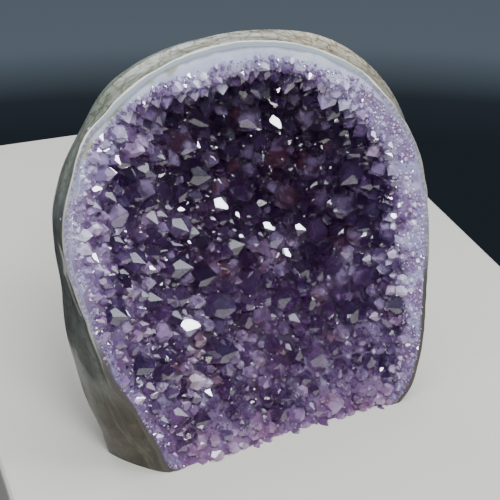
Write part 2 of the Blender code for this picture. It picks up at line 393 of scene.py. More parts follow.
def swell(uv):
    return SWELL * math.exp(-(uv - SWELL_CENTRE).length_squared / SWELL_WIDTH**2)


def band_width(angle):
    """The lining that shows between the crystals' edge and its own edge on the face."""
    return lining_reach(angle) - crystal_reach(angle)


def hollow_place(angle, out):
    """Where the hollow's surface lies: out is 0 deepest, 1 at the crystals' edge and 2 at the face."""
    edge = BAND_DEPTH + (BAND_DEPTH_AT_BASE - BAND_DEPTH) * towards_base(angle) ** 2
    if out <= 1:
        wall = WALL_AT_TOP + (WALL_AT_BASE - WALL_AT_TOP) * towards_base(angle)
        uv = FACE_CENTRE.lerp(DEEPEST, 1 - out**2) + direction(angle) * out * crystal_reach(angle)
        depth = edge + (HOLLOW_DEPTH - edge) * (1 - out**2) ** wall
    else:
        uv = FACE_CENTRE + direction(angle) * (crystal_reach(angle) + band_width(angle) * (out - 1))
        depth = edge * (2 - out) ** BAND_ROUNDING
    return uv, depth - swell(uv) * min(1, 2.3 - out)


def hollow_point(angle, out, raised=0.0):
    uv, depth = hollow_place(angle, out)
    return face_point(uv, depth - raised)


def growth_direction(angle, out):
    """The way that a crystal grows at a place on the hollow's surface: square to it."""
    inner = hollow_point(angle, max(out - BESIDE, 0.001))
    outer = hollow_point(angle, min(out + BESIDE, 2))
    sideways = hollow_point(angle + BESIDE, out) - hollow_point(angle - BESIDE, out)
    return (outer - inner).cross(sideways).normalized()


print("the hollow is", HOLLOW_DEPTH, "mm deep")

# %% [markdown]
# ## Rock rind
#
# The rind is what the lapidary left of the host rock, a weathered basalt with green clay minerals in it.
# Round the mouth it is ground and polished, so it shows its colour: bluish grey-green down the left side,
# tan and mottled over the top, dark olive low down, with fine brown veins. The pale top is partly painted
# light from above, and the near-black olive low down is partly painted shade. The back was left as it broke.
# Such a skin could be sculpted by hand, but not made again the same, so noise shapes it here. The shell
# follows the solids' outlines in finer steps, its mouth edge is rounded by a hair, the polished side gets
# broad flats from grinding, and only the back gets lumps and pits.

# %% Rind shape
GIRTH_DEPTH = 9.0
LATE_GIRTH = 7.0
LATE_GIRTH_TOWARDS = math.radians(222)
BODY_DEPTH = 58.0
BACK_PROFILE = [
    # how far back, how wide against the girth
    (0, 1), (0.1, 0.975), (0.27, 0.905), (0.46, 0.81), (0.65, 0.67), (0.82, 0.49), (0.94, 0.27), (1, 0),
]
LUMP_HEIGHT = 2.0
LUMP_SIZE = 17.0
LUMPS_GROW_OVER = 16.0
KNOB_HEIGHT = 0.9
KNOB_SIZE = 5.5
GRAIN_HEIGHT = 0.45
GRAIN_SIZE = 2.4
PIT_DEPTH = 1.1
PIT_SIZE = 3.2
PIT_FROM = 0.25
BROKEN_FROM = 17.0
BROKEN_FULL_AFTER = 8.0
WAVER = 0.5
WAVER_SIZE = 8
FLATS_DEPTH = 0.45
ROUNDED_OVER = 2.4
EDGE_ROUNDING = 0.35
LIP_RINGS = [(0.9, 0.0), (0.55, 0.0), (0.2, 0.07)]
BEHIND_FACE_FROM = 0.3
SEAT_GAP = 0.02
BOWL_RINGS = 18
RIND_AROUND = 320
WALL_STEPS = 10
BACK_STEPS_BETWEEN = 7


def lumps(uv, w):
    """The natural skin's height: none on the polished side next to the face, full on the back."""
    spot = Vector((uv.x, uv.y, w)) / LUMP_SIZE
    fade = min(max((w - GIRTH_DEPTH) / LUMPS_GROW_OVER, 0), 1)
    return LUMP_HEIGHT * fade * (noise.noise(spot) + 0.5 * noise.noise(spot * 2.3))


def skin(uv, w):
    """The broken skin's small relief: rounded bumps with pits between them."""
    fade = min(max((w - BROKEN_FROM) / BROKEN_FULL_AFTER, 0), 1)
    spot = Vector((uv.x, uv.y, w))
    knobbly = KNOB_HEIGHT * noise.noise(spot / KNOB_SIZE) + GRAIN_HEIGHT * noise.noise(spot / GRAIN_SIZE)
    elsewhere = Vector((9, 4, 1))
    pits = PIT_DEPTH * max(0, noise.noise(spot / PIT_SIZE + elsewhere) - PIT_FROM)
    return fade * (knobbly - pits)


def girth_depth(angle):
    return GIRTH_DEPTH + LATE_GIRTH * max(math.cos(angle - LATE_GIRTH_TOWARDS), 0) ** 3


def body_point(angle, share, w):
    """A point of the rind's outside: share is its size against the girth's outline."""
    uv = FACE_CENTRE.lerp(BACK_CENTRE, 1 - share) + direction(angle) * share * girth_reach(angle)
    rise = lumps(uv, w) + skin(uv, w)
    return face_point(uv + direction(angle) * rise * share, w + rise * (1 - share))


def smooth_step_between(points, i, t):
    """A place between two points of a list, on the curve that also heeds the points next to them."""
    before = points[i - 1] if i else Vector(points[1]) * -1 + 2 * Vector(points[0])
    after = points[i + 2] if i + 2 < len(points) else (points[i][0], -points[i][1])
    p0, p1, p2, p3 = (Vector(point) for point in (before, points[i], points[i + 1], after))
    bend = 2 * p0 - 5 * p1 + 4 * p2 - p3
    twist = 3 * p1 - p0 - 3 * p2 + p3
    return 0.5 * (2 * p1 + (p2 - p0) * t + bend * t**2 + twist * t**3)


def back_ring(back, share):
    def ring(angle):
        start = girth_depth(angle)
        return body_point(angle, share, start + (BODY_DEPTH - start) * back)

    return ring


def waver(uv):
    """How far hand grinding let the face's edge stray from its even curve."""
    spot = Vector((uv.x, uv.y, 40))
    return WAVER * (noise.noise(spot / WAVER_SIZE) + 0.4 * noise.noise(spot / 3.5))


def facets(angle, down):
    """The polished side is ground in broad flats, and low on the left it is rounded over instead."""
    flats = -FLATS_DEPTH * abs(math.sin(5.5 * angle + 0.8))
    rounded = ROUNDED_OVER * max(math.cos(angle - LATE_GIRTH_TOWARDS), 0) ** 8
    return (flats + rounded) * math.sin(down * math.pi)


def wall_ring(down):
    """A ring of the polished side: down is 0 at the face's edge and 1 at the girth."""

    def ring(angle):
        edge = direction(angle) * face_reach(angle)
        girth = direction(angle) * girth_reach(angle)
        uv = FACE_CENTRE + edge.lerp(girth, down)
        stray = waver(uv) * (1 - down) + facets(angle, down)
        depth = girth_depth(angle) * down + EDGE_ROUNDING * (1 - down)
        return face_point(uv + direction(angle) * stray, depth)

    return ring


def face_ring(inside, behind):
    """A ring on the face, that far inside its edge."""

    def ring(angle):
        uv = FACE_CENTRE + direction(angle) * (face_reach(angle) - inside)
        return face_point(uv + direction(angle) * waver(uv), behind)

    return ring


def lining_back(angle, part, outside=0.0):
    """The lining's back, or the seat in the rind for it, which is that much further out."""
    depth = (HOLLOW_DEPTH + LINING_BEHIND) * (1 - part**3.2) ** 0.62
    reach = crystal_reach(angle) + band_width(angle) * part**6 + outside
    uv = FACE_CENTRE.lerp(DEEPEST, 1 - part**2) + direction(angle) * part * reach
    return face_point(uv, depth + outside * (part < 1))


def bowl_parts(steps):
    """Where the rings of a bowl lie, from its middle to its rim, closer together as it turns up."""
    return [math.sin(i / steps * math.pi / 2) for i in range(steps + 1)]


def rind_shell():
    seat = [lambda angle, part=part: lining_back(angle, part, SEAT_GAP) for part in bowl_parts(BOWL_RINGS)]
    lip = [face_ring(inside, behind) for inside, behind in LIP_RINGS]
    wall = [wall_ring(i / WALL_STEPS) for i in range(WALL_STEPS)]
    back = []
    for i in range(len(BACK_PROFILE) - 1):
        for j in range(BACK_STEPS_BETWEEN):
            depth, width = smooth_step_between(BACK_PROFILE, i, j / BACK_STEPS_BETWEEN)
            back.append(back_ring(depth, width))
    pole = [lambda angle: body_point(0, 0, BODY_DEPTH)]
    return pulled_sphere(seat + lip + wall + back + pole, RIND_AROUND)


def depth_behind_face(point):
    return point.dot(INTO_ROCK) / MM + BASE_CENTRE[1] * math.cos(FACE_LEAN)


def reach_of(point):
    """A point's direction from the face's centre, and its distance from there along the face."""
    spot = point / MM
    v = spot.z * math.cos(FACE_LEAN) + (spot.y + BASE_CENTRE[1]) * math.sin(FACE_LEAN)
    arm = Vector((spot.x + BASE_CENTRE[0], v)) - FACE_CENTRE
    return math.atan2(arm.y, arm.x), arm.length


def keep_distance_from_edge(shell):
    """Store how far each point lies from the face's edge: behind it above 0, in from it below 0."""
    layer = shell.verts.layers.float.new("from_edge")
    for vert in shell.verts:
        behind = depth_behind_face(vert.co)
        angle, arm = reach_of(vert.co)
        vert[layer] = behind if behind > BEHIND_FACE_FROM else arm - face_reach(angle)


rind = rind_shell()
saw_base(rind)
keep_distance_from_edge(rind)
print("rind:", len(rind.verts), "points")

# %% [markdown]
# ## Rock finish
#
# Depth behind the face and height above the base are enough to place every zone of the rock: a thin cream
# line on the very edge, then polished stone that turns from near-black olive low down over blue-green to
# tan with height, which paints shade low down and light over the top along with the stone's own colours,
# and the dull brown-grey skin further back. Noise at several sizes mottles it, and the borders of a warped
# cell pattern make hairline veins. Polished stone is smooth under a light coat, and the broken skin is
# rough, so one mask drives roughness, coat and bump.

# %% Rock material
rock = Finish("weathered rock")
behind_face = rock.axis(tuple(INTO_ROCK), BASE_CENTRE[1] * math.cos(FACE_LEAN))
from_edge = rock.stored("from_edge")
height = rock.axis((0, 0, 1))
streaked = rock.stretched((0.45, 2.2, 0.45))
blotches = rock.noise(6, detail=5, place=streaked)
grain = rock.noise(0.9, detail=4)
cloud = rock.noise(22, detail=2)

# Painted light and shade: high and low place the stone's own tan and olive, but the pale top also paints
# light from above and the near-black olive low down paints shade.
high = (height + 20 * cloud).step(86, 112)
low = (height + 16 * cloud).step(50, 30)
blue_green = blotches.ramp(
    (0.3, (0.100, 0.108, 0.103)), (0.5, (0.143, 0.152, 0.142)), (0.72, (0.20, 0.208, 0.192))
)
tan_with_top_light = blotches.ramp(
    (0.3, (0.30, 0.285, 0.245)), (0.48, (0.46, 0.455, 0.42)), (0.6, (0.56, 0.565, 0.54)),
    (0.75, (0.72, 0.72, 0.70))
)
sideways = rock.axis((1, 0, 0))
tan_with_top_light = sideways.step(-5, 25).mix(tan_with_top_light, tan_with_top_light.tinted((0.97, 0.90, 0.80)))
tan_with_top_light = sideways.step(-12, -32).mix(tan_with_top_light, tan_with_top_light.tinted((0.54, 0.61, 0.55)))
# The near-black olive low down is partly the rock's colour and partly painted shade.
olive_with_low_shade = blotches.ramp((0.3, (0.031, 0.026, 0.017)), (0.5, (0.042, 0.035, 0.023)), (0.7, (0.06, 0.051, 0.035)))
polished = low.mix(high.mix(blue_green, tan_with_top_light), olive_with_low_shade)

speckle = grain.step(0.45, 0.62)
polished = (speckle * (0.3 + 0.4 * high)).mix(polished, polished.tinted((0.60, 0.55, 0.46)))
crackle = rock.cracks(5.5, rock.warped(6, 5)).step(0.10, 0.0)
polished = (crackle * (0.25 + 0.55 * high)).mix(polished, polished.tinted((0.50, 0.40, 0.28)))
mottle = rock.noise(2.6, detail=4).step(0.52, 0.66)
polished = (mottle * 0.5).mix(polished, polished.tinted((0.58, 0.55, 0.48)))
veins = rock.cracks(15, rock.warped(8, 10)).step(0.018, 0.0)
polished = (veins * 0.6).mix(polished, (0.075, 0.05, 0.035))

rust = rock.noise(6, detail=3).step(0.60, 0.70) * (height + 8 * cloud).step(34, 22)
polished = (rust * 0.5).mix(polished, (0.13, 0.06, 0.038))
seam = rock.noise(9, detail=2, place=streaked)
pale_seam = seam.step(0.56, 0.60) * seam.step(0.64, 0.60)
polished = (pale_seam * low * 0.12).mix(polished, (0.27, 0.255, 0.20))

wavy_edge = from_edge + 1.7 * (rock.noise(9, detail=3) - 0.5)
upper = (height + 10 * cloud).step(40, 58)
cream = wavy_edge.step(-0.40, -0.25) * wavy_edge.step(0.25, 0.12)
beside_cream = wavy_edge.step(0.15, 0.3) * wavy_edge.step(1.6, 0.8)
polished = (beside_cream * 0.5).mix(polished, polished.tinted((0.50, 0.54, 0.50)))
inner_lip = wavy_edge.step(-0.25, -0.40)
near_top = (height + 16 * cloud).step(104, 116)
lip_colour = near_top.mix(speckle.mix((0.20, 0.175, 0.25), (0.36, 0.32, 0.43)), (0.34, 0.39, 0.44))
polished = inner_lip.mix(polished, upper.mix((0.050, 0.042, 0.036), lip_colour))
cream_colour = (height + 10 * cloud).step(82, 104).mix((0.36, 0.33, 0.27), (0.80, 0.76, 0.64))
polished = (cream * (0.04 + 0.88 * upper)).mix(polished, cream_colour)

broken = (behind_face + 10 * (rock.noise(16) - 0.5) + 5 * (rock.noise(4) - 0.5)).step(20, 23)
crumbs = rock.noise(1.7, detail=8)
rough_skin = crumbs.ramp((0.3, (0.055, 0.048, 0.037)), (0.5, (0.12, 0.107, 0.083)), (0.7, (0.23, 0.21, 0.17)))
mossy = rock.noise(9, detail=4).step(0.5, 0.66)
rough_skin = (mossy * 0.6).mix(rough_skin, rough_skin.tinted((0.70, 0.88, 0.68)))
earthy = rock.noise(13, detail=4).step(0.55, 0.68)
rough_skin = (earthy * 0.5).mix(rough_skin, rough_skin.tinted((1.15, 0.82, 0.58)))
rock_colour = broken.mix(polished, rough_skin)
relief = broken * (crumbs + 0.8 * rock.noise(4.0, detail=5))
rock.set(
    Base_Color=rock_colour,
    Roughness=0.32 + 0.5 * broken + 0.12 * grain,
    Coat_Weight=(0.5 - 0.4 * low) * (1 - broken),
    Coat_Roughness=0.1,
    Specular_IOR_Level=0.3,
    Normal=rock.bump(relief + 0.06 * grain, 0.8, 0.7),
)
finish_piece(rind, "rock_rind", rock.material)

# %% [markdown]
# ## Quartz lining
#
# Between rock and crystals lies the lining: a thread of blue-grey chalcedony, then milky quartz that clears
# towards the crystals. It is ground flush at the face and sinks in towards the crystals with a soft,
# grape-like surface. It is one shell whose front is the hollow's surface and whose back sits in the rind.
# Each point keeps how far it lies in from the rim, so that the bands of the finish can follow the edge.

# %% Lining shape
GRAPE_HEIGHT = 0.35
GRAPE_SIZE = 7
BEAD_HEIGHT = 0.22
BEAD_SIZE = 2.6
LINING_AROUND = 320
FRONT_STEPS = 24
BAND_STEPS = 14
BEHIND_STEPS = 14


def lining_ring(out):
    def ring(angle):
        point = hollow_point(angle, out)
        if out <= 1:
            return point
        full_in_the_middle = 4 * (out - 1) * (2 - out)
        spot = point / MM
        bumps = GRAPE_HEIGHT * noise.noise(spot / GRAPE_SIZE) + BEAD_HEIGHT * noise.noise(spot / BEAD_SIZE)
        return point - INTO_ROCK * MM * full_in_the_middle * bumps

    return ring


def lining_shell():
    bowl = [lining_ring(i / FRONT_STEPS) for i in range(FRONT_STEPS + 1)]
    band = [lining_ring(1 + i / BAND_STEPS) for i in range(1, BAND_STEPS + 1)]
    parts = bowl_parts(BEHIND_STEPS)[:-1]
    back = [lambda angle, part=part: lining_back(angle, part) for part in reversed(parts)]
    return pulled_sphere(bowl + band + back, LINING_AROUND)


def keep_distance_from_rim(shell):
    """Store on each point how many millimetres it lies in from the lining's rim."""
    layer = shell.verts.layers.float.new("from_rim")
    for vert in shell.verts:
        angle, arm = reach_of(vert.co)
        vert[layer] = lining_reach(angle) - arm


lining = lining_shell()
saw_base(lining)
keep_distance_from_rim(lining)
print("lining:", len(lining.verts), "points")

# %% [markdown]
# ## Quartz finish
#
# Milky quartz scatters light just under its surface, so a little subsurface light and a smooth coat say
# quartz better than any colour. The stored distance from the rim places the chalcedony thread, the white
# band and the lavender that leads over to the crystals. Height makes the band darker down the sides, and a
# green mineral stain lies at the upper left.

# %% Quartz material
QUARTZ_IOR = 1.54

quartz = Finish("milky quartz")
from_rim = quartz.stored("from_rim") + 2.2 * (quartz.noise(8, detail=3) - 0.5)
upper_left = quartz.axis((-0.6, 0, 0.8))
milk = quartz.noise(6, detail=4)
quartz_colour = milk.ramp((0.3, (0.49, 0.53, 0.80)), (0.5, (0.64, 0.68, 0.95)), (0.72, (0.82, 0.87, 0.99)))
lavender = (from_rim + 9 * (quartz.noise(7, detail=4) - 0.5)).step(2.5, 8.0)
quartz_colour = (lavender * 0.8).mix(quartz_colour, (0.36, 0.30, 0.50))
sides = (quartz.axis((0, 0, 1)) + 10 * (quartz.noise(10) - 0.5)).step(104, 84)
quartz_colour = sides.mix(quartz_colour, quartz_colour.tinted((0.48, 0.41, 0.55)))
thread = (from_rim + 1.0 * (quartz.noise(14) - 0.5)).step(0.9, 0.2)
high_up = quartz.axis((0, 0, 1)).step(40, 58)
quartz_colour = (thread * 0.85).mix(quartz_colour, high_up.mix((0.07, 0.055, 0.060), (0.30, 0.30, 0.41)))
pale_thread = from_rim.step(1.0, 1.25) * from_rim.step(1.7, 1.35) * upper_left.step(40, 70)
quartz_colour = (pale_thread * 0.6).mix(quartz_colour, (0.80, 0.75, 0.64))
stain = quartz.noise(7, detail=2).step(0.50, 0.62) * (upper_left - 95.0).step(2, 10)
green = stain * from_rim.step(4.0, 1.5)
quartz_colour = (green * 0.8).mix(quartz_colour, (0.29, 0.32, 0.12))
low_down = (quartz.axis((0.35, 0, 1)) + 12 * (quartz.noise(12) - 0.5)).step(60, 5)
quartz_colour = low_down.mix(quartz_colour, quartz_colour.tinted((0.34, 0.25, 0.36)))
# Painted shade: the lining under the crystals is darkened to dark plum, so the gaps between the points read
# as shade.
painted_root_shade = from_rim.step(9.0, 14.0)
quartz_colour = painted_root_shade.mix(quartz_colour, (0.16, 0.09, 0.15))
quartz_veins = quartz.cracks(9, quartz.warped(4, 6)).step(0.02, 0.0)
quartz_colour = (quartz_veins * 0.2).mix(quartz_colour, (0.85, 0.85, 0.88))
quartz.set(
    Base_Color=quartz_colour,
    Roughness=0.22 + 0.2 * milk,
    Coat_Weight=0.4,
    Coat_Roughness=0.1,
    IOR=QUARTZ_IOR,
    Normal=quartz.bump(quartz.noise(1.4, detail=4), 0.35, 0.35),
    Subsurface_Weight=0.25,
    Subsurface_Radius=(0.0022, 0.0020, 0.0026),
    Subsurface_Scale=1.0,
)
finish_piece(lining, "quartz_lining", quartz.material)

# %% [markdown]
# ## Crystal shapes
#
# An amethyst point is a six-sided prism that ends in six sloping faces, three large and three small, at 52
# degrees from the level. Cutting a prism with one plane for each face gives just that, and small
# differences between the planes give every point its own uneven tip. Three dozen such shapes are enough,
# because turn, lean and size make each copy look new. A real crystal face is flat, so nothing is smoothed.
# The foot is short, because what lies under the neighbours is never seen.

# %% Crystal drawer
SHAPES = 36
FACE_SLOPE = math.radians(52)
ROOT = 0.9
TIP_HEIGHT = 1.12
SPARE_LENGTH = 1
TAPER = 0.97
FLATTENED = (0.84, 1.12)
MOST_MINOR = 0.14
UNEVEN = 0.035
SHORTEST_EDGE = 1e-3
SHAPE_SEED = 5


def crystal_shape(rng):
    """A closed point of radius 1, whose foot is ROOT below the level that it grows from."""
    shoulder = rng.uniform(0.0, 1.0)
    apex = shoulder + TIP_HEIGHT
    length = ROOT + apex + SPARE_LENGTH
    point = bmesh.new()
    bmesh.ops.create_cone(point, cap_ends=True, segments=6, radius1=1, radius2=TAPER, depth=length)
    bmesh.ops.translate(point, verts=point.verts, vec=(0, 0, (apex + SPARE_LENGTH - ROOT) / 2))
    stretch = rng.uniform(*FLATTENED)
    bmesh.ops.scale(point, verts=point.verts, vec=(stretch, 1 / stretch, 1))
    minor = rng.uniform(0.0, MOST_MINOR)
    for i in range(6):
        heading = math.radians(30 + 60 * i)
        sideways = math.sin(FACE_SLOPE)
        normal = (sideways * math.cos(heading), sideways * math.sin(heading), math.cos(FACE_SLOPE))
        meets_axis = (0, 0, apex + (i % 2) * minor + rng.uniform(-UNEVEN, UNEVEN))
        geom = point.verts[:] + point.edges[:] + point.faces[:]
        cut = bmesh.ops.bisect_plane(
            point, geom=geom, dist=1e-5, plane_co=meets_axis, plane_no=normal, clear_outer=True
        )
        rim = [item for item in cut["geom_cut"] if isinstance(item, bmesh.types.BMEdge)]
        if rim:
            bmesh.ops.holes_fill(point, edges=rim, sides=0)
    bmesh.ops.dissolve_degenerate(point, edges=point.edges, dist=SHORTEST_EDGE)
    bmesh.ops.recalc_face_normals(point, faces=point.faces)
    mesh = bpy.data.meshes.new("crystal shape")
    point.to_mesh(mesh)
    point.free()
    return mesh


shape_rng = random.Random(SHAPE_SEED)
crystal_drawer = [crystal_shape(shape_rng) for _ in range(SHAPES)]
print("crystal shapes:", SHAPES, "the first with", len(crystal_drawer[0].polygons), "faces")

# %% [markdown]
# ## Where the crystals stand
#
# Crystals crowd each other as they grow: a few outgrow their neighbours, most are of one size, and small
# ones fill what is left. So the places are drawn in that order. A new one is kept only where it doesn't sit
# on one that is there already. Towards the rim they get smaller, and on the lining's edge only a sugary
# dust is left, least at the top where the quartz is smooth. Noise lets the border of the large ones stray
# by a few millimetres, since an even line round the hollow would look drawn.

# %% Crystal places
GROWTH_SEED = 21
CLASSES = [
    # radius from, radius to, how near to each other, tries, reaches from, reaches to
    (3.2, 4.4, 1.2, 1000, 0.0, 0.93),
    (2.1, 3.0, 0.82, 14000, 0.0, 1.22),
    (1.1, 1.9, 0.72, 19000, 0.0, 1.66),
    (0.5, 1.0, 0.72, 34000, 0.0, 1.45),
    (0.8, 1.6, 0.80, 7000, 0.98, 1.80),
    (0.4, 0.8, 0.62, 30000, 0.98, 1.985),
]
BORDER_STRAYS = 4.5
STRAY_SIZE = 11
BORDER_MARGIN = 0.25
OUTERMOST = 1.985
SMALLER_AT_EDGE = 0.3
ALWAYS_COVERED = 0.12
DUST_AT_TOP = 0.35
THINNING = 0.15
LOWEST_CRYSTAL = -1.5
CELL = 4.0
SMOOTH_BAND_TOWARDS = math.radians(100)
SMOOTH_BAND_WIDTH = math.radians(52)
SMOOTH_BAND_BARE = 0.8


def druse_share(angle):
    """How far over the lining's band the fine druse reaches: all of it, but little over the top."""
    off = abs(math.remainder(angle - SMOOTH_BAND_TOWARDS, TURN)) / SMOOTH_BAND_WIDTH
    return 1 - SMOOTH_BAND_BARE * max(0, 1 - off**3)


def felt_out(angle, out):
    """How far out a place seems to the crystals, whose border strays by a few millimetres."""
    spot = hollow_point(angle, out) / MM
    stray = BORDER_STRAYS * noise.noise(spot / STRAY_SIZE) + 1.6 * noise.noise(spot / 4)
    inner, band = crystal_reach(angle), band_width(angle)
    beyond = (out - 1) * (inner if out < 1 else band) + stray
    return max(0, 1 + beyond / (inner if beyond < 0 else band))


def neighbours(grid, cell):
    for dx in range(-2, 3):
        for dy in range(-2, 3):
            for dz in range(-2, 3):
                yield from grid.get((cell[0] + dx, cell[1] + dy, cell[2] + dz), ())


def dust_reach(share, rng):
    """How far over the lining's band one crystal may stand, thinning out where the share is small."""
    return ALWAYS_COVERED + (share + DUST_AT_TOP * (1 - share)) * rng.uniform(0, 1) ** (THINNING / share)


def grow_places(rng):
    """Every crystal as (place, growth direction, radius, out), largest first."""
    grown = []
    grid = {}
    for low, high, nearness, tries, start, end in CLASSES:
        innermost = max(0, start - BORDER_MARGIN)
        outermost = min(OUTERMOST, end + BORDER_MARGIN)
        for _ in range(tries):
            angle = rng.uniform(-math.pi, math.pi)
            out = math.sqrt(rng.uniform(innermost**2, outermost**2))
            felt = felt_out(angle, out)
            radius = rng.uniform(low, high) * (1 - SMALLER_AT_EDGE * min(felt, 1) ** 5)
            if not start <= felt <= end or out - 1 > dust_reach(druse_share(angle), rng):
                continue
            uv, depth = hollow_place(angle, out)
            if uv.y < LOWEST_CRYSTAL:
                continue
            here = face_point(uv, depth)
            cell = tuple(int(math.floor(value / MM / CELL)) for value in here)
            near = neighbours(grid, cell)
            if all((here - other).length > nearness * (radius + wide) * MM for other, wide in near):
                grid.setdefault(cell, []).append((here, radius))
                grown.append((here, growth_direction(angle, out), radius, max(felt, out * 0.9)))
    return grown


growth = grow_places(random.Random(GROWTH_SEED))
print("crystals:", len(growth), "of them", sum(item[2] > 1.5 for item in growth), "over 3 mm across")

# %% [markdown]
# ## One crust
#
# The crystals are fused at their feet, and light must not meet their hidden halves inside, or the crust
# would look like a heap of glass chips. So they are united. Uniting thousands of overlapping points one by
# one is slow. Sorted into groups in which no two touch, each group is a clean mesh, and a dozen unions do
# it all. A bed closes the gaps between the feet. Every face keeps the number of its crystal's shade and how
# far out it stands, and flat faces that the unions split are joined again.

# %% Crust
TILT = math.radians(32)
BED_RAISED = 0.15
BED_SUNK = 4.0
BED_SHADE = -1.0
BED_AROUND = 144
BED_OUTS = [i / 22 for i in range(22)] + [1.0, 1.06, 1.15, 1.3, 1.5, 1.7, 1.9]
FLAT_WITHIN = math.radians(1)
FRONT_ROOM = 0.5
FOOT_ROOM = 2.6
FOOT_HEIGHT = 5.0
RIM_FROM = 0.95
SUNK_AT_RIM = 0.75
LARGE = 2.6
LARGE_TILT = 0.6
TALLEST = 1.75
BELOW_BASE = 0.4


def bed_ring(out, raised):
    return lambda angle: hollow_point(angle, min(out, 1 + 0.9 * druse_share(angle)), raised)


def bed_shell():
    """The layer of fused feet that the crystals rise from."""
    front = [bed_ring(out, BED_RAISED * max(0.12, 1 - max(0, out - 0.8) * 2.2)) for out in BED_OUTS]
    back = [bed_ring(out, -BED_SUNK) for out in reversed(BED_OUTS[::4])]
    return pulled_sphere(front + back, BED_AROUND)


def room_in_front(here, grows):
    """How tall a crystal can be before it stands out of the face, which it may do a little near the base."""
    past_face = FRONT_ROOM + max(0, FOOT_ROOM - here.z / MM / FOOT_HEIGHT)
    to_face = (max(depth_behind_face(here), 0) + past_face) / max(-grows.dot(INTO_ROCK), 0.3)
    to_box = (here.y - solid_box[0][1]) / MM / max(-grows.y, 0.3)
    return min(to_face, to_box)


def stand_crystal(group, shade_layer, out_layer, item, rng):
    """Place one shape from the drawer at its spot, sunk in where there is little room or it is on the rim."""
    here, grows, radius, out = item
    shape = crystal_drawer[rng.randrange(SHAPES)]
    top = max(vert.co.z for vert in shape.vertices) * radius
    on_rim = min(1, max(0, (out - RIM_FROM) * 10))
    sink = max(0, top - room_in_front(here, grows), SUNK_AT_RIM * radius * on_rim)
    lean = Matrix.Rotation(rng.uniform(0, TILT) * (LARGE_TILT if radius > LARGE else 1), 4, "X")
    spin = Matrix.Rotation(rng.uniform(0, TURN), 4, "Z")
    turn = Matrix.Rotation(rng.uniform(0, TURN), 4, "Z")
    upright = grows.to_track_quat("Z", "Y").to_matrix().to_4x4()
    foot = Matrix.Translation(here - grows * sink * MM)
    old_faces = len(group.faces)
    placed = shape.copy()
    placed.transform(foot @ upright @ turn @ lean @ spin @ Matrix.Scale(radius * MM, 4))
    group.from_mesh(placed)
    bpy.data.meshes.remove(placed)
    group.faces.ensure_lookup_table()
    shade = rng.random()
    for face in group.faces[old_faces:]:
        face[shade_layer] = shade
        face[out_layer] = out


def group_apart(items):
    """Sort the crystals into as few groups as it takes for no two in a group to touch."""
    tree = kdtree.KDTree(len(items))
    for i, (here, _, _, _) in enumerate(items):
        tree.insert(here, i)
    tree.balance()
    group_of = {}
    widest = max(item[2] for item in items)
    for i, (here, _, radius, _) in enumerate(items):
        taken = set()
        for _, j, distance in tree.find_range(here, (radius + widest) * TALLEST * MM):
            if j in group_of and distance < (radius + items[j][2]) * TALLEST * MM:
                taken.add(group_of[j])
        group_of[i] = next(k for k in range(len(items)) if k not in taken)
    groups = [[] for _ in range(max(group_of.values()) + 1)]
    for i, k in group_of.items():
        groups[k].append(items[i])
    return groups


def with_face_layers(shell):
    return shell, shell.faces.layers.float.new("shade"), shell.faces.layers.float.new("out")


def fused_crust():
    bed, shade_layer, out_layer = with_face_layers(bed_shell())
    for face in bed.faces:
        face[shade_layer] = BED_SHADE
        angle, arm = reach_of(face.calc_center_median())
        inner = crystal_reach(angle)
        out = arm / inner if arm < inner else 1 + (arm - inner) / band_width(angle)
        face[out_layer] = felt_out(angle, out)
    crust = object_from("crust", bed)
    rng = random.Random(GROWTH_SEED + 1)
    helpers = []
    for i, items in enumerate(group_apart(growth)):
        group, shade_layer, out_layer = with_face_layers(bmesh.new())
        for item in items:
            stand_crystal(group, shade_layer, out_layer, item, rng)
        helpers.append((object_from(f"crystals {i}", group), "UNION"))
    box = bmesh.new()
    bmesh.ops.create_cube(box, size=BELOW_BASE)
    bmesh.ops.translate(box, verts=box.verts, vec=(0, 0, -BELOW_BASE / 2))
    helpers.append((object_from("below the base", box), "DIFFERENCE"))
    for helper, operation in helpers:
        step = crust.modifiers.new(operation, "BOOLEAN")
        step.solver = "MANIFOLD"
        step.operation = operation
        step.object = helper
    graph = bpy.context.evaluated_depsgraph_get()
    fused = bmesh.new()
    fused.from_mesh(bpy.data.meshes.new_from_object(crust.evaluated_get(graph), depsgraph=graph))
    for helper in [crust] + [helper for helper, _ in helpers]:
        bpy.data.objects.remove(helper)
    print("groups:", len(helpers) - 1, "faces before the flat ones are joined:", len(fused.faces))
    bmesh.ops.dissolve_limit(
        fused, angle_limit=FLAT_WITHIN, use_dissolve_boundaries=False, verts=fused.verts, edges=fused.edges
    )
    return fused


crust = fused_crust()
triangles = sum(len(face.verts) - 2 for face in crust.faces)
print("crust:", triangles, "triangles,", sum(not edge.is_manifold for edge in crust.edges), "open edges")

# %% [markdown]
# ## Amethyst finish
#
# Amethyst is clear purple quartz. Its colour sits in the crystal, so light is absorbed along its way: thin
# edges and small points look pale, thick ones and those in the shade of the hollow nearly black. The shader
# does the same, with plain transmission, the refractive index of quartz and an absorbing volume, and on top
# of that paints shade into the colour: darker points high in the hollow under the overhanging top, and a
# near-black bed in the gaps between the points. A milky shader is mixed over it, for the flaws and feathers
# that natural points are full of: a little on every point, most towards the rim and the base, and fully on
# the bed, which is never clear. The stored shade makes each point a little different, and a few deep ones
# carry the rusty tint of iron. Flat crystal faces flash like small mirrors, so they get a coat whose index
# is higher than that of quartz.

# %% Amethyst material
MIRROR_IOR = 1.7
ABSORPTION = (0.66, 0.38, 0.72)
ABSORPTION_DENSITY = 380.0

